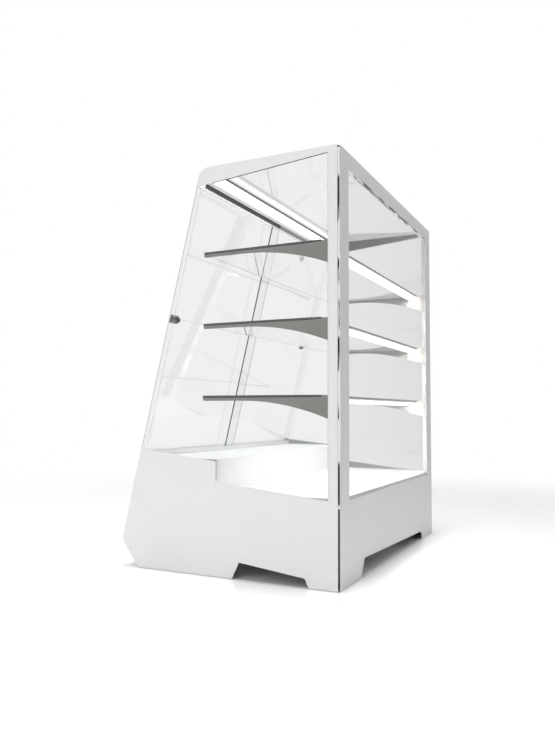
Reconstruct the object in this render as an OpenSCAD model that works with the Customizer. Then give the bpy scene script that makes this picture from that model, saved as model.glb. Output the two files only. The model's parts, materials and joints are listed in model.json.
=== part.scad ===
// Bakery display case: a glazed cabinet with a vertical customer side, a leaning operator side,
// three glass shelves on tapered brackets and two sliding glass doors at the back.
// X runs across the case, -Y is the customer side, Z is up and the origin is under the middle.

/* [Overall] */
// Width over the side panels
case_w = 850; // [800:10:900]
// Depth from the front mask to the rear bulge
case_d = 592; // [570:2:620]
// Height of the roof line
case_h = 1000; // [980:5:1020]
// Lean of the operator side from vertical, in degrees
rear_lean = 13.5; // [12:0.5:14]

/* [Side panels] */
// Thickness of the painted sheet
sheet_t = 2; // [1.5:0.5:3]
// Width of the side panel's front post
side_post_w = 27; // [20:1:40]
// Radius of the upper rear corner
top_r = 32; // [24:1:40]
// Height of the most rearward point
bulge_z = 74; // [64:1:84]
// Radius of the rear bulge
bulge_r = 30; // [20:1:40]
// Undercut of the heel below the bulge, in degrees
heel_lean = 37.5; // [30:0.5:42]
// Height of the panel's ledge at the front edge
ledge_z = 192.7; // [188:0.1:196]
// Slope of the two ledges, in degrees
ledge_tilt = 6; // [4:0.5:7]
// Distance from the front to the step in the ledge
step_y = 317.5; // [310:0.5:320]
// Height of the rear ledge just behind the step
rear_ledge_z = 274; // [272:1:276]
// Height of the roof band's lower edge at the front
band_z = 987.6; // [986:0.1:989]
// Fall of the roof band's lower edge towards the back, in degrees
band_tilt = 5.1; // [4:0.1:5.5]
// Width of the open slot between side panel and front mask
corner_slot = 6.7; // [5:0.1:8]
// Setback of the side panel from the front face
side_setback = 4.5; // [4:0.1:6]

/* [Front mask] */
// Width of each front post, measured from the side of the case
post_w = 63; // [56:1:70]
// Height of the roof band on the front
band_h = 36.5; // [30:0.5:42]
// Height of the lower panel on the front
apron_z = 192; // [188:1:196]

/* [Base] */
// Clearance of the panels above the floor
panel_lift = 1; // [1:0.5:2]
// Height of the base tray above the floor
tray_z = 47; // [46:1:52]
// Thickness of the steel plates of the chassis
chassis_t = 4; // [3:0.5:4]
// Height of the deck
deck_z = 201; // [198:1:204]
// Height of the rear platform
platform_z = 278; // [276:1:282]
// Diameter of a levelling foot
foot_d = 36; // [30:1:45]

/* [Glass] */
// Thickness of the side and front panes
pane_t = 4; // [4:0.5:5]
// Thickness of the roof pane
roof_t = 5; // [4:0.5:6]
// Thickness of a shelf
shelf_t = 6; // [5:0.5:8]
// Thickness of a door
door_t = 4; // [4:0.5:4.5]

/* [Shelves] */
// Height of the top face of the upper shelf
shelf_1_z = 787; // [770:1:800]
// Height of the top face of the middle shelf
shelf_2_z = 609; // [590:1:625]
// Height of the top face of the lower shelf
shelf_3_z = 432; // [420:1:445]
// Distance from the front face to the shelves
shelf_front = 47; // [40:1:60]
// Distance from the front face to the rear ends of the shelves
shelf_back = 360; // [330:1:362]
// Depth of a bracket at its thin rear end, with the glass
bracket_h = 13; // [12:1:16]
// Radius of the curve under a bracket
bracket_r = 600; // [560:10:700]

/* [Doors] */
// Overlap of the two doors in the middle
door_overlap = 70; // [50:2:80]
// Gap between the glass of the two doors
door_gap = 12; // [11:0.5:13]
// Height of the knobs
knob_z = 628; // [500:1:700]
// Diameter of a knob
knob_d = 22; // [18:1:24]
// Distance from the left side of the case to the left knob
knob_left = 37; // [35:1:80]
// Distance from the right side of the case to the right knob
knob_right = 63; // [35:1:80]

/* [Hidden] */
$fn = 48;

front_y = -case_d / 2;
half_w = case_w / 2;
// Inner face of the side panels and of the side panes
panel_in = half_w - sheet_t;
pane_in = panel_in - pane_t;
// Half width of what fits between the side panes
fit_x = pane_in - 0.2;
// Back of the front mask and of the front pane
mask_y = front_y + sheet_t;
pane_y = mask_y + pane_t;
// Centre of the rear bulge
bulge_y = case_d / 2 - bulge_r;
roof_pane_z = case_h - 2 - roof_t;
// Joint between roof pane and rear cap
cap_y = front_y + 343;
step = front_y + step_y;
// Sheet of the deck, the platform, the cap and the rear panels
thin = 1.5;
gap = 0.5;

// Height of the chassis under the side panes, in front of and behind the step
chassis_top = 179.5;
chassis_rear_top = 261;
chassis_step = step + 5;
// Seam between the service panel and the kick below it
seam_z = bulge_z + bulge_r * sin(rear_lean) + 12;

// Door planes, as offsets from the leaning rear face, and the track around them
outer_n = -3;
inner_n = outer_n - door_t - door_gap;
track_wall = 1;
track_out = outer_n + gap + track_wall;
track_in = inner_n - door_t - gap - track_wall;
door_x = half_w - 15;
door_w = door_x + door_overlap / 2;
sill_z = platform_z - track_in * sin(rear_lean);
track_top_z = 953;
track_top_len = (track_top_z - sill_z) / cos(rear_lean);
top_track_h = 16;
door_s0 = 4;
door_s1 = track_top_len + 10;
knob_s = (knob_z - sill_z) / cos(rear_lean);
glider_x = 60;

shelf_zs = [shelf_1_z, shelf_2_z, shelf_3_z];
shelf_y0 = front_y + shelf_front;
shelf_y1 = front_y + shelf_back;
upright_t = 2;
upright_in = fit_x - upright_t;
upright_y0 = pane_y + gap;
upright_y1 = front_y + side_post_w + 3;
slot_pitch = 25;
slot_w = 3.4;
slot_l = 12;
bracket_t = 3;
bracket_out = upright_in;
bracket_in = bracket_out - bracket_t;
// Where the straight rear stretch of a bracket turns into its curve
bracket_curve_y = shelf_y1 - 110;
hook_drops = [14, 39];
// Lamp rail under the front edge of a shelf
rail_h = 12;
rail_w = 27;
rail_wall = 3;
cover_t = 2;
// Height of the front roof rail that shows below the front band
rail_show = 8;

feet = [[-1, -255], [1, -255], [-1, 170], [1, 170]];
foot_x = 370;
stud_d = 8;
switch_x = -300;
gland_x = 300;
service_z = 190;
pivot_n = -3;
pivot_d = 3;
rocker_tilt = 8;
service_s = (service_z - sill_z) / cos(rear_lean);

// Y of the leaning rear face at height z, moved out by off
function rear_y(z, off = 0) =
    bulge_y + (bulge_r + off - (z - bulge_z) * sin(rear_lean)) / cos(rear_lean);
// Y of the undercut heel at height z, moved out by off
function heel_y(z, off = 0) =
    bulge_y + (bulge_r + off + (z - bulge_z) * sin(heel_lean)) / cos(heel_lean);
function arc(c, r, a0, a1, n) = [for (i = [0:n]) let (a = a0 + (a1 - a0) * i / n) c + r * [cos(a), sin(a)]];
// Heights of the panel's inclined edges at y
function ledge(y) = ledge_z + (y - front_y) * tan(ledge_tilt);
function rear_ledge(y) = rear_ledge_z + (y - step) * tan(ledge_tilt);
function band(y) = band_z - (y - front_y) * tan(band_tilt);
// The upper rear corner, where the roof line runs into the leaning face
function corner_c() = let (z = case_h - top_r) [rear_y(z, -top_r), z];
// Rear outline from the roof down to height z, moved in by off
function top_arc(off = 0) = arc(corner_c(), top_r - off, 90, rear_lean, 10);
function bulge_arc(off = 0) = arc([bulge_y, bulge_z], bulge_r - off, rear_lean, -heel_lean, 8);

// Raises an outline drawn in Y and Z into a plate from x0 to x1
module across(x0, x1) {
    translate([x0, 0, 0]) rotate([90, 0, 90]) linear_extrude(x1 - x0) children();
}
// Raises an outline drawn in X and Z into a plate from y0 to y1
module upright_plate(y0, y1) {
    translate([0, y1, 0]) rotate([90, 0, 0]) linear_extrude(y1 - y0) children();
}
// The left side mirrors what is drawn on the right
module on(side) {
    mirror([side < 0 ? 1 : 0, 0, 0]) children();
}
// Local X along the case, Y out of the leaning face and Z up it, from the sill
module leaning() {
    translate([0, rear_y(sill_z), sill_z]) rotate([rear_lean, 0, 0]) children();
}
module box(lo, hi) {
    translate(lo) cube(hi - lo);
}

module side_outline() {
    y0 = front_y + side_setback;
    polygon(concat(
        [[y0, panel_lift], [y0, case_h]],
        top_arc(),
        bulge_arc(),
        [[heel_y(panel_lift), panel_lift]]
    ));
}
module side_window() {
    y0 = front_y + side_post_w;
    y1 = case_d;
    polygon([
        [y0, ledge(y0)], [step, ledge(step)], [step, rear_ledge(step)],
        [y1, rear_ledge(y1)], [y1, band(y1)], [y0, band(y0)]
    ]);
}
module side_foot_gap() {
    y = front_y;
    polygon([[y + 73.5, -1], [y + 83.5, 21.5], [y + 252, 40.5], [y + 272, -1]]);
}
module side_panel(side) {
    color("whitesmoke") on(side) across(panel_in, half_w) difference() {
        side_outline();
        side_window();
        side_foot_gap();
    }
}
module front_mask() {
    w = half_w - corner_slot;
    x = half_w - post_w;
    color("gainsboro") upright_plate(front_y, mask_y) difference() {
        translate([-w, panel_lift]) square([2 * w, case_h - panel_lift]);
        translate([-x, apron_z]) square([2 * x, case_h - band_h - apron_z]);
        polygon([[-285, -1], [-257, 44.5], [279, 25], [294, -1]]);
    }
}

module side_glass(side) {
    color("azure", 0.4) on(side) across(pane_in, panel_in) polygon(concat(
        [[mask_y, chassis_top], [mask_y, roof_pane_z], [cap_y, roof_pane_z], [cap_y, case_h - 1]],
        top_arc(1),
        [
            [rear_y(chassis_rear_top), chassis_rear_top],
            [chassis_step, chassis_rear_top], [chassis_step, chassis_top]
        ]
    ));
}
module front_glass() {
    color("azure", 0.4) box([-fit_x, mask_y, chassis_top], [fit_x, pane_y, roof_pane_z]);
}
module roof_glass() {
    x = panel_in - 0.2;
    color("azure", 0.4) box([-x, mask_y, roof_pane_z], [x, cap_y - gap, roof_pane_z + roof_t]);
}

// Folded cap over the door track, from the roof pane to the top of the doors
module roof_rear_cap() {
    z = track_top_z + 4;
    web_z = roof_pane_z + 1.5;
    color("white") across(-fit_x, fit_x) polygon(concat(
        [[cap_y, web_z], [cap_y, case_h]],
        top_arc(),
        [[rear_y(z), z], [rear_y(z, -thin), z]],
        arc(corner_c(), top_r - thin, rear_lean, 90, 10),
        [[cap_y + thin, case_h - thin], [cap_y + thin, web_z]]
    ));
}
module roof_gasket() {
    z = roof_pane_z;
    color("dimgray") box([-fit_x, cap_y - 4, z - 2.5], [fit_x, cap_y - gap, z]);
}
// Carries the edge of the roof pane behind the band of the side panel
module roof_rail(side) {
    y0 = upright_y1 + 1;
    y1 = cap_y - 5;
    z = roof_pane_z;
    color("dimgray") on(side) union() {
        across(fit_x - 3, fit_x) polygon([[y0, band(y0) + 1], [y0, z], [y1, z], [y1, band(y1) + 1]]);
        box([fit_x - 12, y0, z - 2], [fit_x - 2, y1, z]);
    }
}
// Bright rail behind the front band, with a narrow strip of it showing below the band
module roof_rail_front() {
    x = upright_in - 1;
    z = case_h - band_h - rail_show;
    color("silver") union() {
        box([-x, upright_y0, z], [x, upright_y0 + 2, roof_pane_z]);
        box([-x, upright_y0, roof_pane_z - 2], [x, upright_y0 + 10, roof_pane_z]);
    }
}

// Lamp face between the door track and the rear edge of the roof pane
function lamp_low() = [rear_y(track_top_z + 15, track_in - 0.3), track_top_z + 15];
function lamp_high() = [cap_y - 0.2, roof_pane_z - 3];
function lamp_back() = let (d = lamp_high() - lamp_low()) [d[1], -d[0]] / norm(d);
module lamp_face(d0, d1, edge) {
    low = lamp_low();
    high = lamp_high();
    along = (high - low) / norm(high - low);
    back = lamp_back();
    a = low + along * edge;
    b = high - along * edge;
    polygon([a + back * d0, b + back * d0, b + back * d1, a + back * d1]);
}
module roof_lamp_profile() {
    x = fit_x - 4;
    color("white") across(-x, x) difference() {
        lamp_face(0, 9, 0);
        lamp_face(-1, 7.5, 2.5);
    }
}
module roof_lamp_diffuser() {
    x = fit_x - 6;
    color("ivory") across(-x, x) lamp_face(0.2, 2.5, 2.6);
}

// Slotted strip that the brackets hook into
module upright(side) {
    z0 = chassis_top - 30;
    z1 = band(upright_y0) - 3;
    mid = (upright_y0 + upright_y1) / 2;
    color("white") on(side) difference() {
        box([upright_in, upright_y0, z0], [fit_x, upright_y1, z1]);
        for (shelf = shelf_zs) for (i = [-2:2]) {
            top = shelf - hook_drops[0] - i * slot_pitch;
            box([upright_in - 1, mid - slot_w / 2, top - slot_l], [fit_x + 1, mid + slot_w / 2, top]);
        }
    }
}
module shelf_glass(z) {
    x = bracket_out - 0.2;
    color("azure", 0.4) box([-x, shelf_y0, z - shelf_t], [x, shelf_y1, z]);
}
// Depth of a bracket below the top of its shelf
function bracket_depth(y) =
    let (run = max(0, bracket_curve_y - y))
    bracket_h + bracket_r - sqrt(bracket_r * bracket_r - run * run);
module bracket_outline(z) {
    y0 = upright_y0;
    run = y0 - bracket_curve_y;
    steps = 14;
    notch = shelf_y0 - 0.3;
    tip = 4;
    polygon(concat(
        [[y0, z - 2], [notch, z - 2], [notch, z - shelf_t], [shelf_y1, z - shelf_t]],
        arc([shelf_y1 - tip, z - bracket_h + tip], tip, 0, -90, 4),
        [for (i = [0:steps]) let (y = bracket_curve_y + run * i / steps) [y, z - bracket_depth(y)]]
    ));
}
module shelf_bracket(side, z) {
    mid = (upright_y0 + upright_y1) / 2;
    seat = z - shelf_t;
    color("gray") on(side) union() {
        across(bracket_in, bracket_out) bracket_outline(z);
        box([bracket_in - 12, shelf_y0 + rail_w + 1, seat - 2], [bracket_in + 1, shelf_y1 - 6, seat]);
        for (drop = hook_drops)
            box([bracket_in, mid - 1.5, z - drop - slot_l + 0.5], [fit_x - 0.2, mid + 1.5, z - drop - 0.5]);
    }
}
// Lamp rail with a web under the glass and a back wall, open to the front and below
module shelf_rail(z) {
    x = bracket_in - 0.2;
    top = z - shelf_t;
    color("white") across(-x, x) difference() {
        translate([shelf_y0, top - rail_h]) square([rail_w, rail_h]);
        translate([shelf_y0 - 1, top - rail_h - 1]) square([rail_w + 1 - rail_wall, rail_h + 1 - rail_wall]);
    }
}
// Opal cover that closes the rail at the front and below
module shelf_diffuser(z) {
    x = bracket_in - 0.4;
    y1 = shelf_y0 + rail_w - rail_wall - 0.1;
    low = z - shelf_t - rail_h;
    high = z - shelf_t - rail_wall - 0.1;
    color("ivory") across(-x, x) polygon(concat(
        [[shelf_y0, high]],
        arc([shelf_y0 + 3, low + 3], 3, 180, 270, 4),
        [[y1, low], [y1, low + cover_t]],
        arc([shelf_y0 + 3, low + 3], 3 - cover_t, 270, 180, 4),
        [[shelf_y0 + cover_t, high]]
    ));
}

// Deck sheet, with its front corners notched around the uprights
module deck_pan() {
    y0 = pane_y + gap;
    y1 = step - 0.2;
    lip = 28;
    low = deck_z - lip - 1;
    color("white") difference() {
        box([-fit_x, y0, deck_z - lip], [fit_x, y1, deck_z]);
        box([-fit_x + thin, y0 + thin, low], [fit_x - thin, y1 + 1, deck_z - thin]);
        for (side = [-1, 1]) on(side)
            box([upright_in - gap, y0 - 1, low], [fit_x + 1, upright_y1 + gap, deck_z + 1]);
    }
}
// Riser, platform and the seat of the lower door track, folded from one sheet
module rear_platform() {
    zo = sill_z;
    yo = rear_y(zo);
    seat_y = yo + track_in * cos(rear_lean);
    foot_z = chassis_rear_top + 0.5;
    low = deck_z - 20;
    color("white") across(-fit_x, fit_x) polygon([
        [step, low], [step, platform_z], [seat_y, platform_z], [yo, zo],
        [rear_y(foot_z), foot_z], [rear_y(foot_z, -thin), foot_z],
        [yo - thin * 1.3, zo - thin * 1.4], [seat_y + 0.3, platform_z - thin],
        [step + thin, platform_z - thin], [step + thin, low]
    ]);
}
module deck_bearers() {
    x = fit_x - thin - gap;
    top = deck_z - thin - 0.1;
    wide = 40;
    wall = 2;
    color("dimgray") for (y = [-200, -110, step - wide - 2]) difference() {
        box([-x, y, top - 25], [x, y + wide, top]);
        box([-x - 1, y + wall, top - 26], [x + 1, y + wide - wall, top - wall]);
    }
}
// Leaning panel below the doors, with the cut-outs for switch and cord gland
module service_panel() {
    x = panel_in - 0.2;
    z0 = seam_z + 0.2;
    z1 = chassis_rear_top - 0.2;
    color("whitesmoke") difference() {
        across(-x, x)
            polygon([[rear_y(z0), z0], [rear_y(z1), z1], [rear_y(z1, -thin), z1], [rear_y(z0, -thin), z0]]);
        leaning() translate([switch_x, 0, service_s]) box([-10.2, -10, -14.2], [10.2, 10, 14.2]);
        leaning() translate([gland_x, 0, service_s]) rotate([90, 0, 0])
            cylinder(d = 16.2, h = 20, center = true);
    }
}
// Rounded bulge and undercut heel, cut out between the rear feet
module rear_kick() {
    x = panel_in - 0.2;
    z = seam_z - 0.2;
    color("whitesmoke") difference() {
        across(-x, x) polygon(concat(
            [[rear_y(z), z]],
            bulge_arc(),
            [[heel_y(panel_lift), panel_lift], [heel_y(panel_lift, -thin), panel_lift]],
            arc([bulge_y, bulge_z], bulge_r - thin, -heel_lean, rear_lean, 8),
            [[rear_y(z, -thin), z]]
        ));
        upright_plate(case_d / 2 - 120, case_d / 2 + 10)
            polygon([[-285, -1], [-262, 36], [262, 36], [285, -1]]);
    }
}

module chassis_side(side) {
    off = -thin - 0.5;
    z1 = chassis_rear_top;
    color("dimgray") on(side) across(panel_in - chassis_t, panel_in) polygon(concat(
        [[mask_y + 6, tray_z], [mask_y + 6, chassis_top], [chassis_step, chassis_top]],
        [[chassis_step, z1], [rear_y(z1, off), z1]],
        arc([bulge_y, bulge_z], bulge_r + off, rear_lean, -heel_lean, 8),
        [[heel_y(tray_z, off), tray_z]]
    ));
}
module chassis_front() {
    color("dimgray") box([-fit_x, mask_y, tray_z], [fit_x, pane_y, chassis_top]);
}
module base_tray() {
    x = panel_in - chassis_t - 0.3;
    y0 = pane_y + 0.2;
    y1 = heel_y(tray_z, -thin - 0.5);
    color("silver") difference() {
        box([-x, y0, tray_z], [x, y1, tray_z + 22]);
        box([-x + thin, y0 + thin, tray_z + 2], [x - thin, y1 - thin, tray_z + 23]);
        for (f = feet) translate([f[0] * foot_x, f[1], tray_z])
            cylinder(d = stud_d + 0.6, h = 10, center = true);
    }
}
module levelling_feet() {
    color("black") for (f = feet) translate([f[0] * foot_x, f[1], 0]) rotate_extrude() polygon([
        [0, 0], [foot_d / 2, 0], [foot_d / 2, 4], [foot_d / 2 - 4, 10], [9, 14],
        [9, tray_z - 0.1], [stud_d / 2, tray_z - 0.1], [stud_d / 2, tray_z + 20], [0, tray_z + 20]
    ]);
}
module foot_nuts() {
    color("silver") for (f = feet) translate([f[0] * foot_x, f[1], tray_z + 2]) difference() {
        cylinder(d = 15, h = 6.5, $fn = 6);
        translate([0, 0, -1]) cylinder(d = stud_d + 0.1, h = 9);
    }
}

// Grooved track: web of one side, three walls and two grooves, opening towards dir
module track(height, dir) {
    x = fit_x;
    web = 1.5;
    z0 = dir > 0 ? web : -1;
    z1 = dir > 0 ? height + 1 : height - web;
    mid_out = outer_n - door_t - gap;
    mid_in = inner_n + gap;
    difference() {
        box([-x, track_in, 0], [x, track_out, height]);
        box([-x - 1, mid_out, z0], [x + 1, outer_n + gap, z1]);
        box([-x - 1, inner_n - door_t - gap, z0], [x + 1, mid_in, z1]);
        box([-x - 1, mid_in + 1, z0], [x + 1, mid_out - 1, z1]);
    }
}
module door_track_bottom() {
    color("white") leaning() track(11, 1);
}
module door_track_top() {
    color("white") leaning() translate([0, 0, track_top_len]) track(top_track_h, -1);
}

function door_n(side) = side < 0 ? outer_n : inner_n;
function knob_x(side) = half_w - (side < 0 ? knob_left : knob_right);
module door_glass(side) {
    n = door_n(side);
    color("azure", 0.4) on(side) leaning() difference() {
        box([door_x - door_w, n - door_t, door_s0], [door_x, n, door_s1]);
        translate([knob_x(side), n, knob_s]) rotate([90, 0, 0]) cylinder(d = 6.4, h = 3 * door_t, center = true);
    }
}
// Clear profile pushed over the outer edge of a door
module door_seal(side) {
    n = door_n(side);
    color("white", 0.5) on(side) leaning() difference() {
        box([door_x - 6, n - door_t - 1.2, 12.5], [fit_x - 0.6, n + 1.2, track_top_len - 1.5]);
        box([door_x - 7, n - door_t - 0.02, 11], [door_x + 0.02, n + 0.02, track_top_len]);
    }
}
module door_knob(side) {
    n = door_n(side);
    high = side < 0 ? 15 : 10.5;
    r = knob_d / 2;
    color("black") on(side) leaning() translate([knob_x(side), n, knob_s]) rotate([-90, 0, 0]) difference() {
        rotate_extrude() polygon(concat(
            [[0, 0], [7, 0], [6, 1.5], [6, 2.5], [r - 1, 3], [r, 4]],
            arc([r - 2.5, high - 2.5], 2.5, 0, 90, 5),
            [[0, high]]
        ));
        translate([0, 0, -1]) cylinder(d = 4.2, h = high - 3);
    }
}
// Screw and washer that hold a knob from inside the case
module knob_screw(side) {
    n = door_n(side) - door_t;
    reach = side < 0 ? 9 : 6;
    color("black") on(side) leaning() translate([knob_x(side), n, knob_s]) rotate([-90, 0, 0]) rotate_extrude()
        polygon([
            [0, -3], [3.6, -3], [4.8, -1.8], [6, -1], [6, 0], [2.05, 0],
            [2.05, door_t + reach - 3], [0, door_t + reach - 3]
        ]);
}
module door_gliders(side) {
    n = door_n(side);
    color("black") on(side) leaning() for (x = [door_x - glider_x - 40, door_x - door_w + glider_x])
        box([x, n - door_t - 0.2, 1.7], [x + 40, n + 0.2, door_s0 - 0.02]);
}

driver_lo = [215, 40, tray_z + 2];
driver_size = [160, 45, 32];
module lamp_driver() {
    tab = [12, -8, 0];
    color("whitesmoke") union() {
        box(driver_lo, driver_lo + driver_size);
        box(driver_lo - tab, driver_lo + [driver_size[0] + tab[0], driver_size[1] + tab[1], 3]);
    }
}
// Route of the inner lead from behind the gland to the driver
lead_route = [
    [300, 251, 186], [300, 236, 180], [300, 214, 156], [299, 200, 122],
    [297, 184, 92], [295, 160, 74], [295, 128, 66], [295, 85.2, 65]
];
lead_sides = 8;
function ring(p, d, r) =
    let (a = [1, 0, 0], b = cross(d, a), u = b / norm(b))
    [for (i = [0:lead_sides - 1]) let (t = 360 * i / lead_sides) p + r * (cos(t) * a + sin(t) * u)];
// The face between neighbouring corners of two neighbouring rings, the first of them starting at k
function lead_face(k, i) =
    let (next = (i + 1) % lead_sides)
    [k + i, k + next, k + lead_sides + next, k + lead_sides + i];
module driver_lead() {
    n = len(lead_route);
    tangents = [for (i = [0:n - 1]) lead_route[min(i + 1, n - 1)] - lead_route[max(i - 1, 0)]];
    points = [for (i = [0:n - 1]) each ring(lead_route[i], tangents[i] / norm(tangents[i]), 3.2)];
    color("black") polyhedron(points, concat(
        [[for (i = [lead_sides - 1:-1:0]) i]],
        [for (k = [0:n - 2]) for (i = [0:lead_sides - 1]) lead_face(k * lead_sides, i)],
        [[for (i = [0:lead_sides - 1]) (n - 1) * lead_sides + i]]
    ));
}
module cord_gland() {
    color("black") leaning() translate([gland_x, 0, service_s]) rotate([-90, 0, 0]) difference() {
        union() {
            cylinder(d = 24, h = 6, $fn = 6);
            translate([0, 0, 6]) cylinder(d1 = 20, d2 = 14, h = 11);
            translate([0, 0, -18]) cylinder(d = 16, h = 18.1);
        }
        translate([0, 0, -19]) cylinder(d = 8, h = 40);
    }
}
module gland_nut() {
    color("black") leaning() translate([gland_x, 0, service_s]) rotate([90, 0, 0]) difference() {
        translate([0, 0, thin + 0.1]) cylinder(d = 24, h = 5, $fn = 6);
        cylinder(d = 16.1, h = 20);
    }
}
// Bezel and body of the lamp switch, with the bore of the rocker's pivot
module switch_housing() {
    color("black") leaning() translate([switch_x, 0, service_s]) difference() {
        union() {
            box([-13, 0.1, -17], [13, 2, 17]);
            box([-10, -18, -14], [10, 0.2, 14]);
        }
        box([-7.6, -10, -12], [7.6, 3, 12]);
        translate([0, pivot_n, 0]) rotate([0, 90, 0]) cylinder(d = pivot_d + 0.1, h = 19, center = true);
    }
}
// Rocker at rest with its upper end pressed in
module switch_rocker() {
    profile = [[5, -11], [4.4, 0], [5, 11], [2.5, 11], [-3, 4], [-3, -4], [2.5, -11]];
    color("dimgray") leaning() translate([switch_x, pivot_n, service_s]) rotate([rocker_tilt, 0, 0]) {
        across(-7.2, 7.2) polygon(profile);
        rotate([0, 90, 0]) cylinder(d = pivot_d, h = 18.6, center = true);
    }
}

side_panel(-1);  // side_panel_left
side_panel(1);  // side_panel_right
front_mask();
front_glass();
side_glass(-1);  // side_glass_left
side_glass(1);  // side_glass_right
roof_glass();
roof_rear_cap();
roof_gasket();
roof_rail(-1);  // roof_rail_left
roof_rail(1);  // roof_rail_right
roof_rail_front();
roof_lamp_profile();
roof_lamp_diffuser();
upright(-1);  // upright_left
upright(1);  // upright_right
shelf_glass(shelf_1_z);  // shelf_glass_1
shelf_glass(shelf_2_z);  // shelf_glass_2
shelf_glass(shelf_3_z);  // shelf_glass_3
shelf_bracket(-1, shelf_1_z);  // shelf_bracket_left_1
shelf_bracket(-1, shelf_2_z);  // shelf_bracket_left_2
shelf_bracket(-1, shelf_3_z);  // shelf_bracket_left_3
shelf_bracket(1, shelf_1_z);  // shelf_bracket_right_1
shelf_bracket(1, shelf_2_z);  // shelf_bracket_right_2
shelf_bracket(1, shelf_3_z);  // shelf_bracket_right_3
shelf_rail(shelf_1_z);  // shelf_rail_1
shelf_rail(shelf_2_z);  // shelf_rail_2
shelf_rail(shelf_3_z);  // shelf_rail_3
shelf_diffuser(shelf_1_z);  // shelf_diffuser_1
shelf_diffuser(shelf_2_z);  // shelf_diffuser_2
shelf_diffuser(shelf_3_z);  // shelf_diffuser_3
deck_pan();
rear_platform();
deck_bearers();
service_panel();
rear_kick();
chassis_side(-1);  // chassis_side_left
chassis_side(1);  // chassis_side_right
chassis_front();
base_tray();
levelling_feet();
foot_nuts();
door_track_top();
door_track_bottom();
door_glass(-1);  // door_glass_left
door_glass(1);  // door_glass_right
door_seal(-1);  // door_seal_left
door_seal(1);  // door_seal_right
door_knob(-1);  // door_knob_left
door_knob(1);  // door_knob_right
knob_screw(-1);  // knob_screw_left
knob_screw(1);  // knob_screw_right
door_gliders(-1);  // door_gliders_left
door_gliders(1);  // door_gliders_right
lamp_driver();
driver_lead();
cord_gland();
gland_nut();
switch_housing();
switch_rocker();
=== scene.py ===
"""Looks of the bakery display case: finished shells, glass, lamps, fasteners, floor, light and camera."""

import json
import math

import bmesh
import bpy
from mathutils import Matrix, Vector


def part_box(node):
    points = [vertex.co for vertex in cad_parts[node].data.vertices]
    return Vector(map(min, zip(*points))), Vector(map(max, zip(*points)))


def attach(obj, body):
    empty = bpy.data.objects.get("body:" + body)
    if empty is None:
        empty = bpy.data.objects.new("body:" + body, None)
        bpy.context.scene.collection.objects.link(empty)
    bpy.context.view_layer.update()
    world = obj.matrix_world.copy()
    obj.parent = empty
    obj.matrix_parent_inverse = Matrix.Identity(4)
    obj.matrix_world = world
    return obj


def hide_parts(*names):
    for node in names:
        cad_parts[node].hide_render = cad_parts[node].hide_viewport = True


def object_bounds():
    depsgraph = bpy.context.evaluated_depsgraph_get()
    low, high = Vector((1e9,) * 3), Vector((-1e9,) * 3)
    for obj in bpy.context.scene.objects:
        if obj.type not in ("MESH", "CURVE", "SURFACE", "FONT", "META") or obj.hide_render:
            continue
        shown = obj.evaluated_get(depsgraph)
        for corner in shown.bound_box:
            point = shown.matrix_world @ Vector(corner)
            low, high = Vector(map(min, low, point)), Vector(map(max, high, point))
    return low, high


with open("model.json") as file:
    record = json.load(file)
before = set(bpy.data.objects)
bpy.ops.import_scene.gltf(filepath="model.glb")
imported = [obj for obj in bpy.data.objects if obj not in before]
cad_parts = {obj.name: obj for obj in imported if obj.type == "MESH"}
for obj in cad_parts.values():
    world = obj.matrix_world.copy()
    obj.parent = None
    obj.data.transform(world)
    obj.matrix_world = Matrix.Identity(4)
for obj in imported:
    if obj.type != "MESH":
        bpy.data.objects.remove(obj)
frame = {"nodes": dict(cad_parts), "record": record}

MM = 0.001
cad_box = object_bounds()
LOW, HIGH = cad_box
scene = bpy.context.scene
slot_of = {part["node"]: part["material_slot"] for part in frame["record"]["subparts"]}
body_of = {node: body for body, nodes in frame["record"]["behaviour"]["bodies"].items() for node in nodes}


# ---------------------------------------------------------------- camera

LENS = 33.37
SENSOR = 36.0
YAW, PITCH, ROLL = math.radians(26.09), math.radians(3.47), math.radians(0.21)
# Where the camera stands, from the lower front left corner of the case
CAMERA_FROM_CORNER = Vector((-1.424, -0.5444, 0.3935))


def make_camera():
    data = bpy.data.cameras.new("camera")
    data.lens = LENS
    data.sensor_width = SENSOR
    data.clip_start = 0.01
    camera = bpy.data.objects.new("camera", data)
    scene.collection.objects.link(camera)
    forward = Vector((math.cos(PITCH) * math.cos(YAW), math.cos(PITCH) * math.sin(YAW), math.sin(PITCH)))
    level = Vector((math.sin(YAW), -math.cos(YAW), 0))
    upward = level.cross(forward)
    right = math.cos(ROLL) * level + math.sin(ROLL) * upward
    turned = Matrix((right, right.cross(forward), -forward)).transposed()
    camera.matrix_world = Matrix.Translation(LOW + CAMERA_FROM_CORNER) @ turned.to_4x4()
    scene.camera = camera


make_camera()


# ---------------------------------------------------------------- materials


def new_material(name):
    material = bpy.data.materials.new(name)
    material.use_nodes = True
    tree = material.node_tree
    return material, tree, tree.nodes["Principled BSDF"]


def feed(tree, value, socket):
    """Set a socket to a number, or link an output to it."""
    if isinstance(value, (int, float)):
        socket.default_value = value
    else:
        tree.links.new(value, socket)


def place(tree, stretch=(1, 1, 1)):
    """Object coordinates, squeezed along an axis to draw a pattern out along it."""
    coordinates = tree.nodes.new("ShaderNodeTexCoord")
    mapping = tree.nodes.new("ShaderNodeMapping")
    mapping.inputs["Scale"].default_value = stretch
    tree.links.new(coordinates.outputs["Object"], mapping.inputs["Vector"])
    return mapping.outputs["Vector"]


# Where most values of a noise texture lie
CLOUDS = (0.3, 0.7)


def noise(tree, vector, scale, detail=2.0):
    node = tree.nodes.new("ShaderNodeTexNoise")
    node.inputs["Scale"].default_value = scale
    node.inputs["Detail"].default_value = detail
    tree.links.new(vector, node.inputs["Vector"])
    return node.outputs["Fac"]


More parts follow.
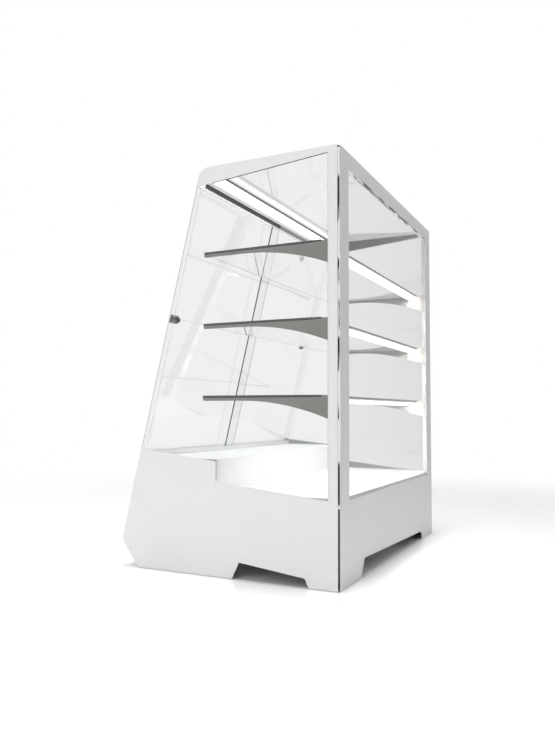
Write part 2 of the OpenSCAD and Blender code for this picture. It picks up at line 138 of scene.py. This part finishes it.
def ramp(tree, factor, low, high, at=CLOUDS):
    node = tree.nodes.new("ShaderNodeValToRGB")
    first, last = node.color_ramp.elements
    first.position, last.position = at
    first.color = (*low, 1)
    last.color = (*high, 1)
    tree.links.new(factor, node.inputs["Fac"])
    return node.outputs["Color"]


def rescale(tree, value, before, after=(0.0, 1.0), smooth=False):
    """Map a value from the range before to the range after, holding it at their ends."""
    node = tree.nodes.new("ShaderNodeMapRange")
    node.interpolation_type = "SMOOTHSTEP" if smooth else "LINEAR"
    node.inputs["From Min"].default_value, node.inputs["From Max"].default_value = before
    node.inputs["To Min"].default_value, node.inputs["To Max"].default_value = after
    tree.links.new(value, node.inputs["Value"])
    return node.outputs["Result"]


def math_node(tree, operation, first, second=0.0):
    """The output of a Math node; first and second are outputs or numbers."""
    node = tree.nodes.new("ShaderNodeMath")
    node.operation = operation
    feed(tree, first, node.inputs[0])
    feed(tree, second, node.inputs[1])
    return node.outputs[0]


def blend(tree, factor, first, second):
    """first where factor is 0 and second where it is 1; both are outputs or numbers."""
    node = tree.nodes.new("ShaderNodeMix")
    tree.links.new(factor, node.inputs["Factor"])
    feed(tree, first, node.inputs["A"])
    feed(tree, second, node.inputs["B"])
    return node.outputs["Result"]


def ray(tree, output):
    """What the Light Path node tells of a ray."""
    return tree.nodes.new("ShaderNodeLightPath").outputs[output]


def seen_ray(tree):
    """1 for a ray that comes from the eye, or that glass has let through, and 0 for others."""
    return math_node(tree, "MAXIMUM", ray(tree, "Is Camera Ray"), ray(tree, "Is Transmission Ray"))


def unscattered(tree):
    """1 for a ray that no matt surface has scattered, and 0 for others."""
    return math_node(tree, "LESS_THAN", ray(tree, "Diffuse Depth"), 0.5)


def mix_clear(tree, shader, factor, colour=(1, 1, 1)):
    """Put out the shader where factor is 0 and a clear one of this colour where it is 1."""
    clear = tree.nodes.new("ShaderNodeBsdfTransparent")
    clear.inputs["Color"].default_value = (*colour, 1)
    mix = tree.nodes.new("ShaderNodeMixShader")
    tree.links.new(factor, mix.inputs[0])
    tree.links.new(shader.outputs[0], mix.inputs[1])
    tree.links.new(clear.outputs[0], mix.inputs[2])
    tree.links.new(mix.outputs[0], tree.nodes["Material Output"].inputs["Surface"])


def bump(tree, height, depth, strength=1.0):
    node = tree.nodes.new("ShaderNodeBump")
    node.inputs["Strength"].default_value = strength
    node.inputs["Distance"].default_value = depth
    tree.links.new(height, node.inputs["Height"])
    return node.outputs["Normal"]


def painted_reflection_streaks(name, dark, bright, glow, pitch, stretch, threshold=0.5):
    """An edge painted bright in stretches and dark in between: a painted reflection, whose bright stretches
    also glow with painted light.

    pitch is the rough length of a stretch before stretch scales it, and threshold the level of the noise
    where dark turns to bright.
    """
    material, tree, shader = new_material(name)
    bands = noise(tree, place(tree, stretch), 1 / pitch, 1)
    soft = 0.02
    turn = (threshold - soft, threshold + soft)
    # Painted reflection in the base colour, and painted glow in the emission, both from the same bands
    tree.links.new(ramp(tree, bands, dark, bright, turn), shader.inputs["Base Color"])
    tree.links.new(ramp(tree, bands, (0, 0, 0), bright, turn), shader.inputs["Emission Color"])
    shader.inputs["Emission Strength"].default_value = glow
    shader.inputs["Roughness"].default_value = 0.08
    return material


def surface(
    name, colour, spread, roughness, patch, grain, depth,
    stretch=(1, 1, 1), metallic=0.0, specular=0.5, glow=0.0
):
    """A coating, metal, rubber or plastic, with its colour and roughness clouded and a fine relief.

    spread is the share by which the colour varies, roughness a range, patch and grain the scales of the
    clouding and the relief, and depth the height of the relief.
    """
    material, tree, shader = new_material(name)
    vector = place(tree, stretch)
    clouds = noise(tree, vector, patch, 3)
    low = [c * (1 - spread) for c in colour]
    high = [min(1, c * (1 + spread)) for c in colour]
    tree.links.new(ramp(tree, clouds, low, high), shader.inputs["Base Color"])
    tree.links.new(rescale(tree, clouds, CLOUDS, roughness), shader.inputs["Roughness"])
    tree.links.new(bump(tree, noise(tree, vector, grain), depth), shader.inputs["Normal"])
    shader.inputs["Metallic"].default_value = metallic
    shader.inputs["Specular IOR Level"].default_value = specular
    shader.inputs["Emission Color"].default_value = (1, 1, 1, 1)
    shader.inputs["Emission Strength"].default_value = glow
    return material


def glass(name, colour, passed, roughness=0.0, ior=1.5):
    """Clear sheet with a faint waviness; passed is its tint for lamp light, which goes straight through."""
    material, tree, shader = new_material(name)
    shader.inputs["Base Color"].default_value = (*colour, 1)
    shader.inputs["Roughness"].default_value = roughness
    shader.inputs["IOR"].default_value = ior
    shader.inputs["Transmission Weight"].default_value = 1.0
    wave = noise(tree, place(tree), 4.0, 1)
    tree.links.new(bump(tree, wave, 0.4 * MM, 0.05), shader.inputs["Normal"])
    mix_clear(tree, shader, ray(tree, "Is Shadow Ray"), passed)
    return material


# How bright a lamp looks to the eye and in gloss, which keeps its edges from burning out
LAMP_SEEN = 1.8
LAMP_MIRRORED = 0.35
LAMP_COLOUR = (1.0, 0.985, 0.96)
DIODE_PITCH = 12.5 * MM
# Spacing of a wave texture's bands at scale 1
WAVE_PITCH = math.pi / 10


def lit(name, strength):
    """Opal acrylic with a row of light emitting diodes behind it along X."""
    material, tree, shader = new_material(name)
    shader.inputs["Base Color"].default_value = (0.9, 0.9, 0.88, 1)
    shader.inputs["Roughness"].default_value = 0.35
    wave = tree.nodes.new("ShaderNodeTexWave")
    wave.wave_type = "BANDS"
    wave.bands_direction = "X"
    wave.inputs["Scale"].default_value = WAVE_PITCH / DIODE_PITCH
    tree.links.new(place(tree), wave.inputs["Vector"])
    between_diodes = [c * 0.9 for c in LAMP_COLOUR]
    colour = ramp(tree, wave.outputs["Fac"], between_diodes, LAMP_COLOUR, (0.0, 1.0))
    tree.links.new(colour, shader.inputs["Emission Color"])
    unseen = blend(tree, ray(tree, "Is Glossy Ray"), strength, LAMP_MIRRORED)
    tree.links.new(blend(tree, seen_ray(tree), unseen, LAMP_SEEN), shader.inputs["Emission Strength"])
    material.cycles.emission_sampling = "FRONT_BACK"
    return material


# Brushed along the case, and pile that stands out of it
ALONG_X = (0.02, 1, 1)
STANDING = (1, 0.2, 0.2)
MATERIALS = {
    "white_paint": surface("white_paint", (0.80, 0.80, 0.80), 0.012, (0.34, 0.42), 6, 900, 0.03 * MM),
    "white_aluminium": surface(
        "white_aluminium", (0.84, 0.84, 0.84), 0.01, (0.30, 0.38), 8, 1200, 0.02 * MM
    ),
    "grey_paint": surface(
        "grey_paint", (0.34, 0.322, 0.305), 0.03, (0.4, 0.5), 9, 900, 0.03 * MM, specular=0.35
    ),
    "dark_aluminium": surface(
        "dark_aluminium", (0.026, 0.026, 0.027), 0.08, (0.4, 0.5), 30, 900, 0.02 * MM, ALONG_X, specular=0.0
    ),
    "polished_aluminium": surface(
        "polished_aluminium", (0.62, 0.62, 0.63), 0.05, (0.18, 0.28), 30, 900, 0.01 * MM,
        ALONG_X, metallic=1.0
    ),
    "gasket_rubber": surface("gasket_rubber", (0.025, 0.025, 0.027), 0.1, (0.6, 0.75), 40, 700, 0.05 * MM),
    "chassis_steel": surface("chassis_steel", (0.10, 0.10, 0.105), 0.08, (0.45, 0.6), 12, 900, 0.04 * MM),
    "zinc_steel": surface(
        "zinc_steel", (0.62, 0.62, 0.60), 0.12, (0.34, 0.5), 160, 900, 0.02 * MM, metallic=0.7
    ),
    "black_plastic": surface("black_plastic", (0.012, 0.012, 0.013), 0.15, (0.38, 0.5), 60, 1500, 0.04 * MM),
    "white_plastic": surface("white_plastic", (0.74, 0.74, 0.72), 0.02, (0.4, 0.5), 25, 1400, 0.04 * MM),
    "cable_sheath": surface("cable_sheath", (0.02, 0.02, 0.02), 0.15, (0.5, 0.65), 60, 1200, 0.05 * MM),
    "clear_glass": glass("clear_glass", (0.937, 0.941, 0.94), (0.935, 0.943, 0.94)),
    "shelf_glass": glass("shelf_glass", (0.975, 0.984, 0.981), (0.93, 0.942, 0.938)),
    "clear_vinyl": glass("clear_vinyl", (0.97, 0.972, 0.972), (0.94, 0.945, 0.945), 0.02, 1.12),
    # The dark pile is painted shade on the track's inner face, and the grey pile a lighter copy of it,
    # painted lamp light
    "pile": surface("pile", (0.035, 0.035, 0.037), 0.25, (0.8, 0.95), 350, 2500, 0.2 * MM, STANDING),
    "pile_painted_lamp_light": surface("pile_painted_lamp_light", (0.42, 0.42, 0.43), 0.15, (0.8, 0.95), 350, 2500, 0.2 * MM, STANDING),
    "opal_diffuser": lit("opal_diffuser", 30.0),
}
EDGE = surface("glass_edge", (0.02, 0.035, 0.033), 0.5, (0.05, 0.14), 30, 500, 0.02 * MM, specular=0.6)
# Edges of the front and side panes: a painted reflection of bright and dark stretches, with painted glow on
# the bright ones
PAINTED_REFLECTION_EDGE = painted_reflection_streaks(
    "glass_edge_painted_reflection", (0.01, 0.011, 0.011), (0.95, 0.96, 0.955), 0.5, 80 * MM, (6, 6, 1)
)
# White aluminium that glows a little: painted light for the lamp light on the upper door track, its infill
# and the roof lamp's profile
PAINTED_LIGHT_WHITE = surface(
    "white_painted_light", (0.84, 0.84, 0.84), 0.01, (0.30, 0.38), 8, 1200, 0.02 * MM, glow=0.4
)
# Painted reflection on the rear edges of the side panes, mostly dark, with painted glow on its bright
# stretches
REAR_PAINTED_REFLECTION_EDGE = painted_reflection_streaks(
    "rear_glass_edge_painted_reflection", (0.005, 0.005, 0.005), (0.9, 0.91, 0.905), 0.15, 40 * MM, (6, 0, 1), 0.7
)
SEALED_EDGE = glass("sealed_edge", (0.98, 0.98, 0.98), (0.95, 0.95, 0.95), ior=1.0)
# Painted reflection and painted glow for the front roof rail's face below the band
PAINTED_REFLECTION_RAIL = painted_reflection_streaks(
    "rail_painted_reflection", (0.015, 0.015, 0.015), (0.9, 0.9, 0.9), 0.6, 60 * MM, (1, 8, 8)
)


# ---------------------------------------------------------------- finished copies of the CAD pieces

# Edges that turn by more than this are rounded, and shaded sharp where nothing rounds them
SHARP = math.radians(28)
# Tessellation lines flatter than this are removed
FLAT = math.radians(0.3)
# Vertices nearer to each other than this are joined
WELD = 0.001 * MM
# A face looks along an axis where its normal goes at least this far along it
FACING = 0.5


def add_piece(name, mesh, body, material):
    """A visible piece that moves with a body and belongs to a material slot."""
    piece = bpy.data.objects.new(name, mesh)
    scene.collection.objects.link(piece)
    mesh.materials.append(material)
    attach(piece, body)
    return piece


def smooth(mesh):
    mesh.shade_smooth()
    mesh.set_sharp_from_angle(angle=SHARP)


def finished(node, edge, segments=2, material=None):
    """A copy of a CAD piece with its corners rounded by edge, standing for that piece."""
    source = frame["nodes"][node].data
    bm = bmesh.new()
    bm.from_mesh(source)
    bmesh.ops.remove_doubles(bm, verts=bm.verts, dist=WELD)
    bmesh.ops.dissolve_limit(bm, angle_limit=FLAT, verts=bm.verts, edges=bm.edges)
    corners = [e for e in bm.edges if len(e.link_faces) == 2 and e.calc_face_angle(0) > SHARP]
    bmesh.ops.bevel(
        bm, geom=corners, offset=edge, segments=segments, profile=0.5, affect="EDGES", clamp_overlap=True
    )
    mesh = bpy.data.meshes.new(node + "_finished")
    bm.to_mesh(mesh)
    bm.free()
    smooth(mesh)
    slot = slot_of[node]
    piece = add_piece(node + "_finished", mesh, body_of[node], material or MATERIALS[slot])
    weighted = piece.modifiers.new("weighted", "WEIGHTED_NORMAL")
    weighted.keep_sharp = True
    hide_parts(node)
    return piece


def pane(node, facing, edge):
    """A glass pane with ground, polished edges: facing is the direction of its two large faces."""
    piece = finished(node, 0.4 * MM, 1)
    mesh = piece.data
    mesh.materials.append(edge)
    for polygon in mesh.polygons:
        polygon.material_index = int(abs(polygon.normal.dot(facing)) < FACING)
        polygon.use_smooth = False
    return piece


# Directions of the leaning operator side: across it, out of it and up it. The glass of the doors lies in it.
ACROSS = Vector((1, 0, 0))
door_faces = frame["nodes"]["door_glass_left"].data.polygons
OUT = max(door_faces, key=lambda polygon: polygon.area * polygon.normal.y).normal.copy()
UP = ACROSS.cross(OUT)


def span(node, axis):
    """Lowest and highest place of a CAD piece along an axis."""
    places = [vertex.co.dot(axis) for vertex in frame["nodes"][node].data.vertices]
    return min(places), max(places)


def leaning(x, n, s):
    """The point at x along the case, n out of the leaning side and s up it."""
    return ACROSS * x + OUT * n + UP * s


def paint_rear_edge_reflection(mesh):
    """The edge of a side pane along the operator side gets a darker painted reflection than its other edges:
    mostly dark, with fewer bright stretches that glow.
    """
    mesh.materials.append(REAR_PAINTED_REFLECTION_EDGE)
    for polygon in mesh.polygons:
        if polygon.material_index and polygon.normal.y > FACING:
            polygon.material_index = 2


def clear_sealed_edge(mesh):
    """The outer edge of a door doesn't show inside its seal."""
    mesh.materials.append(SEALED_EDGE)
    near_side = 0.9 * HIGH.x
    for polygon in mesh.polygons:
        if abs(polygon.normal.x) > FACING and abs(polygon.center.x) > near_side:
            polygon.material_index = 2


PANES = {
    "front_glass": Vector((0, 1, 0)),
    "side_glass_left": Vector((1, 0, 0)),
    "side_glass_right": Vector((1, 0, 0)),
    "roof_glass": Vector((0, 0, 1)),
    "shelf_glass_1": Vector((0, 0, 1)),
    "shelf_glass_2": Vector((0, 0, 1)),
    "shelf_glass_3": Vector((0, 0, 1)),
    "door_glass_left": OUT,
    "door_glass_right": OUT,
}
# Panes whose edges get the painted reflection and glow
PANES_WITH_PAINTED_REFLECTION = {"front_glass", "side_glass_left", "side_glass_right"}
KNOBS = ("door_knob_left", "door_knob_right")
for node, facing in PANES.items():
    finished_pane = pane(node, facing, PAINTED_REFLECTION_EDGE if node in PANES_WITH_PAINTED_REFLECTION else EDGE)
    if node.startswith("side"):
        paint_rear_edge_reflection(finished_pane.data)
    if facing is OUT:
        clear_sealed_edge(finished_pane.data)

# How far the corners of the pieces in each slot are rounded
EDGES = {
    "white_paint": 0.4 * MM,
    "grey_paint": 0.4 * MM,
    "white_aluminium": 0.3 * MM,
    "dark_aluminium": 0.2 * MM,
    "polished_aluminium": 0.2 * MM,
    "chassis_steel": 0.3 * MM,
    "zinc_steel": 0.5 * MM,
    "black_plastic": 0.4 * MM,
    "white_plastic": 1.0 * MM,
    "opal_diffuser": 0.3 * MM,
    "clear_vinyl": 0.3 * MM,
    "gasket_rubber": 0.4 * MM,
}
OWN_LOOK = {
    "door_track_top": PAINTED_LIGHT_WHITE,
    "roof_lamp_profile": PAINTED_LIGHT_WHITE,
    "roof_lamp_diffuser": lit("roof_opal", 14.0),
}
for node in sorted(set(frame["nodes"]) - set(PANES) - set(KNOBS)):
    if slot_of[node] == "cable_sheath":
        frame["nodes"][node].data.materials.clear()
        frame["nodes"][node].data.materials.append(MATERIALS["cable_sheath"])
    else:
        finished(node, EDGES[slot_of[node]], material=OWN_LOOK.get(node))


def paint_rail_reflection():
    """The face of the front rail that shows below the band gets a painted reflection, bright with dark
    stretches, and its bright stretches glow with painted light.
    """
    mesh = bpy.data.objects["roof_rail_front_finished"].data
    mesh.materials.append(PAINTED_REFLECTION_RAIL)
    for polygon in mesh.polygons:
        polygon.material_index = int(polygon.normal.y < -FACING)


paint_rail_reflection()


# ---------------------------------------------------------------- small pieces


def ring(bm, centre, first, second, radii):
    """Vertices evenly turned round a centre, from direction first towards second, one for each radius."""
    turns = [math.tau * i / len(radii) for i in range(len(radii))]
    return [
        bm.verts.new(centre + (first * math.cos(t) + second * math.sin(t)) * radius)
        for t, radius in zip(turns, radii)
    ]


def skin(bm, rings):
    """Faces between closed rings of vertices, with a face over each end."""
    sides = len(rings[0])
    for near, far in zip(rings, rings[1:]):
        for i in range(sides):
            after = (i + 1) % sides
            bm.faces.new((near[i], near[after], far[after], far[i]))
    bm.faces.new(list(reversed(rings[0])))
    bm.faces.new(rings[-1])


def closed_mesh(name, bm):
    """A mesh of the closed skin in bm, its faces turned outwards."""
    bmesh.ops.recalc_face_normals(bm, faces=bm.faces)
    mesh = bpy.data.meshes.new(name)
    bm.to_mesh(mesh)
    bm.free()
    smooth(mesh)
    return mesh


def extruded(name, node, outline, places, material):
    """A strip on node, drawn through places in X from an outline of places out of and up the leaning side."""
    bm = bmesh.new()
    skin(bm, [[bm.verts.new(leaning(x, n, s)) for n, s in outline] for x in places])
    add_piece(name, closed_mesh(name, bm), body_of[node], material)


def turned(name, node, outline, base, segments=40):
    """Stand a piece turned about a line out of the leaning side at base in for node.

    outline holds the piece's radii and heights above base.
    """
    bm = bmesh.new()
    skin(bm, [ring(bm, base + OUT * height, ACROSS, UP, [radius] * segments) for radius, height in outline])
    piece = add_piece(name, closed_mesh(name, bm), body_of[node], MATERIALS[slot_of[node]])
    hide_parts(node)


def rounded(radius, height, corner, steps=6):
    """Outline of the outer corner of a turned piece, from its side to its end."""
    angles = [math.pi / 2 * i / steps for i in range(steps + 1)]
    return [(radius - corner * (1 - math.cos(a)), height - corner * (1 - math.sin(a))) for a in angles]


def knob(node):
    """A barrel on a neck, with a dished end and the blind bore of its screw."""
    low, high = span(node, OUT)
    length = high - low
    x0, x1 = span(node, ACROSS)
    s0, s1 = span(node, UP)
    radius = (x1 - x0) / 2
    base = leaning((x0 + x1) / 2, low, (s0 + s1) / 2)
    bore, bore_end, middle = 2.1 * MM, length - 3 * MM, 0.05 * MM
    hole = [(middle, bore_end), (bore, bore_end), (bore, 0)]
    neck = [(7 * MM, 0), (6.2 * MM, 0.5 * MM), (6 * MM, 1.5 * MM), (6 * MM, 2.5 * MM)]
    shoulder = [(radius - 1 * MM, 3 * MM), (radius - 0.3 * MM, 3.3 * MM), (radius, 4 * MM)]
    dish = [
        (radius - 3.2 * MM, length - 0.1 * MM), (radius - 4 * MM, length - 0.6 * MM),
        (radius - 6 * MM, length - 0.95 * MM), (middle, length - 1.1 * MM)
    ]
    outline = hole + neck + shoulder + rounded(radius, length, 2.5 * MM) + dish
    turned(node + "_turned", node, outline, base)


for node in KNOBS:
    knob(node)

TRACK = "door_track_top"


def brush(name, x0, x1, material):
    """A strip of pile in its backing, on the inner face of the upper door track."""
    face = span(TRACK, OUT)[0]
    low, high = span(TRACK, UP)
    low += 2.2 * MM
    high -= 2.4 * MM
    backing, pile, lip = 0.6 * MM, 1.3 * MM, 1.2 * MM
    back = face - backing
    width = high - low - 2 * lip
    shares = [i / 8 for i in range(9)]
    crown = [(back - (pile - backing) * math.sin(math.pi * t), low + lip + width * t) for t in shares]
    outline = [(face, low), (back, low)] + crown + [(back, high), (face, high)]
    pieces = 60
    extruded(name, TRACK, outline, [x0 + (x1 - x0) * i / pieces for i in range(pieces + 1)], material)


def track_infill():
    """White strip that closes the upper track between the grooves of the two doors, with turned up edges."""
    low = span(TRACK, UP)[0]
    clear = 1.7 * MM
    n0 = span("door_glass_right", OUT)[1] + clear
    n1 = span("door_glass_left", OUT)[0] - clear
    sheet, edge = 0.8 * MM, 4 * MM
    outline = [
        (n0, low), (n1, low), (n1, low + edge), (n1 - sheet, low + edge),
        (n1 - sheet, low + sheet), (n0 + sheet, low + sheet), (n0 + sheet, low + edge), (n0, low + edge)
    ]
    # The infill's white glows with painted light
    extruded("door_track_infill", TRACK, outline, span(TRACK, ACROSS), PAINTED_LIGHT_WHITE)


track_infill()
track_low, track_high = span(TRACK, ACROSS)
# Left of brush_end the strip is dark, painted shade where the track and door rail lie in shadow; right of it
# the strip is paler, painted lamp light on the rail
brush_end = 7 * MM
brush("door_brush_painted_shade", track_low, brush_end, MATERIALS["pile"])
brush("door_brush_painted_light", brush_end, track_high, MATERIALS["pile_painted_lamp_light"])

SCREW_SIDES = 24
SCREW_R = 3.8 * MM
SOCKET_R = 1.5 * MM
SOCKET_FLOOR = 0.6 * MM
# Outline of a screw's head: shares of its radius, and heights
SCREW_HEAD = [(1.0, 0.0), (1.0, 0.25 * MM), (0.93, 0.95 * MM), (0.78, 1.5 * MM), (0.58, 1.8 * MM)]


def screw(bm, at, away):
    """A button head screw with a hexagon socket, standing on the point at and facing away."""
    first = away.orthogonal().normalized()
    second = away.cross(first)
    rings = [
        ring(bm, at + away * height, first, second, [SCREW_R * share] * SCREW_SIDES)
        for share, height in SCREW_HEAD
    ]
    sixth = math.pi / 3
    turns = [math.tau * i / SCREW_SIDES for i in range(SCREW_SIDES)]
    hexagon = [SOCKET_R * math.cos(sixth / 2) / math.cos(t % sixth - sixth / 2) for t in turns]
    for height in (SCREW_HEAD[-1][1], SOCKET_FLOOR):
        rings.append(ring(bm, at + away * height, first, second, hexagon))
    skin(bm, rings)


def add_screws(name, node, places, away):
    """Screws that hold node, standing on its face at the points places and facing away."""
    bm = bmesh.new()
    for at in places:
        screw(bm, at, away)
    add_piece(name, closed_mesh(name, bm), body_of[node], MATERIALS["zinc_steel"])


def panel_screws():
    """Screws along the upper and the lower edge of the leaning service panel."""
    face = span("service_panel", OUT)[1]
    low, high = span("service_panel", UP)
    inset = 9 * MM
    places = [
        leaning(HIGH.x * share, face, s) for share in (-0.95, 0, 0.95) for s in (low + inset, high - inset)
    ]
    add_screws("service_panel_screws", "service_panel", places, OUT)


def heel_screws():
    """Screws through the undercut heel of the kick, one at each foot."""
    faces = frame["nodes"]["rear_kick"].data.polygons
    heel = max(faces, key=lambda face: face.area * (face.normal.y > FACING) * (face.normal.z < -FACING))
    away = heel.normal.copy()
    x, z = 0.8 * HIGH.x, 34 * MM
    y = heel.center.y - (z - heel.center.z) * away.z / away.y
    places = [Vector((side * x, y, z)) for side in (-1, 1)]
    add_screws("rear_kick_screws", "rear_kick", places, away)


panel_screws()
heel_screws()


# ---------------------------------------------------------------- floor, light and view

# The floor glows to stay white in the open, and the glow is left off under the case: the shade there is
# partly real and partly painted, with its edge along the case
FLOOR_GLOW = 0.16
# How far outside the edge of the case the glow begins and is full
GLOW_REACH = (-0.02, 0.02)
# How far from the middle of the case the floor begins to fade and is gone
FLOOR_FADE = (0.9, 2.6)


def outside_case(tree, vector, reach):
    """0 on the floor under the case and 1 clear of it; reach is how far outside its edge each begins."""
    axes = tree.nodes.new("ShaderNodeSeparateXYZ")
    tree.links.new(vector, axes.inputs[0])
    away = [
        math_node(tree, "SUBTRACT", math_node(tree, "ABSOLUTE", axes.outputs[axis]), half)
        for axis, half in (("X", HIGH.x), ("Y", HIGH.y))
    ]
    return rescale(tree, math_node(tree, "MAXIMUM", *away), reach, smooth=True)


def make_floor():
    """A pale floor that runs out into the white of the room."""
    bm = bmesh.new()
    bmesh.ops.create_circle(bm, cap_ends=True, segments=96, radius=6.0)
    mesh = bpy.data.meshes.new("floor")
    bm.to_mesh(mesh)
    bm.free()
    floor = bpy.data.objects.new("floor", mesh)
    scene.collection.objects.link(floor)
    material, tree, shader = new_material("floor")
    vector = place(tree)
    clouds = noise(tree, vector, 1.5)
    tree.links.new(ramp(tree, clouds, (0.90, 0.90, 0.90), (0.92, 0.92, 0.92)), shader.inputs["Base Color"])
    shader.inputs["Roughness"].default_value = 0.06
    shader.inputs["Specular IOR Level"].default_value = 0.4
    shader.inputs["Emission Color"].default_value = (1, 1, 1, 1)
    glow = math_node(tree, "MULTIPLY", outside_case(tree, vector, GLOW_REACH), unscattered(tree))
    tree.links.new(math_node(tree, "MULTIPLY", glow, FLOOR_GLOW), shader.inputs["Emission Strength"])
    length = tree.nodes.new("ShaderNodeVectorMath")
    length.operation = "LENGTH"
    tree.links.new(vector, length.inputs[0])
    mix_clear(tree, shader, rescale(tree, length.outputs["Value"], FLOOR_FADE, smooth=True))
    mesh.materials.append(material)


def softbox(name, at, towards, size, power, mirrored=False):
    """A rectangular light at one point that faces another; mirrored says if it shows in gloss."""
    data = bpy.data.lights.new(name, "AREA")
    data.shape = "RECTANGLE"
    data.size, data.size_y = size
    data.energy = power
    light = bpy.data.objects.new(name, data)
    scene.collection.objects.link(light)
    light.location = at
    light.rotation_mode = "QUATERNION"
    light.rotation_quaternion = (Vector(towards) - Vector(at)).to_track_quat("-Z", "Y")
    light.visible_camera = False
    light.visible_transmission = False
    light.visible_glossy = mirrored


def make_room(white, ambient, mirrored):
    """White walls to look at and a dimmer, even light from them; mirrored is what gloss shows, -Y to +Y."""
    world = bpy.data.worlds.new("room")
    scene.world = world
    world.use_nodes = True
    tree = world.node_tree
    background = tree.nodes["Background"]
    coordinates = tree.nodes.new("ShaderNodeTexCoord")
    axes = tree.nodes.new("ShaderNodeSeparateXYZ")
    tree.links.new(coordinates.outputs["Generated"], axes.inputs[0])
    shine = rescale(tree, axes.outputs["Y"], (-1, 1), mirrored)
    direct = unscattered(tree)
    glossy = math_node(tree, "MULTIPLY", ray(tree, "Is Glossy Ray"), direct)
    seen = math_node(tree, "MULTIPLY", seen_ray(tree), direct)
    unseen = blend(tree, glossy, ambient, shine)
    tree.links.new(blend(tree, seen, unseen, white), background.inputs["Strength"])
    background.inputs["Color"].default_value = (1, 1, 1, 1)


def lamp_light(node, power):
    """The light that a shelf lamp throws down into the case, from just below its diffuser."""
    low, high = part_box(node)
    at = Vector(((low.x + high.x) / 2, (low.y + high.y) / 2, low.z - 2 * MM))
    size = (0.95 * (high.x - low.x), high.y - low.y)
    softbox(node + "_light", at, at - Vector((0, 0, 1)), size, power)


make_floor()
make_room(1.0, 0.26, (0.05, 0.75))
softbox("top_light", (-0.2, 0.2, 3.2), (0, 0, 0.3), (3.0, 3.0), 100, mirrored=True)
softbox("side_light", (-3.0, 0.3, 1.5), (0, 0, 0.5), (2.4, 2.4), 39)
softbox("back_light", (1.4, 3.0, 1.8), (0, 0, 0.5), (2.4, 2.4), 20)
softbox("front_light", (0.2, -1.7, 1.8), (0, -0.3, 0.9), (1.4, 1.0), 7.5)
for shelf in (1, 2, 3):
    lamp_light("shelf_diffuser_%d" % shelf, 0.85)

scene.view_settings.view_transform = "Standard"
scene.cycles.max_bounces = 24
scene.cycles.transmission_bounces = 24
scene.cycles.transparent_max_bounces = 48
scene.cycles.glossy_bounces = 6
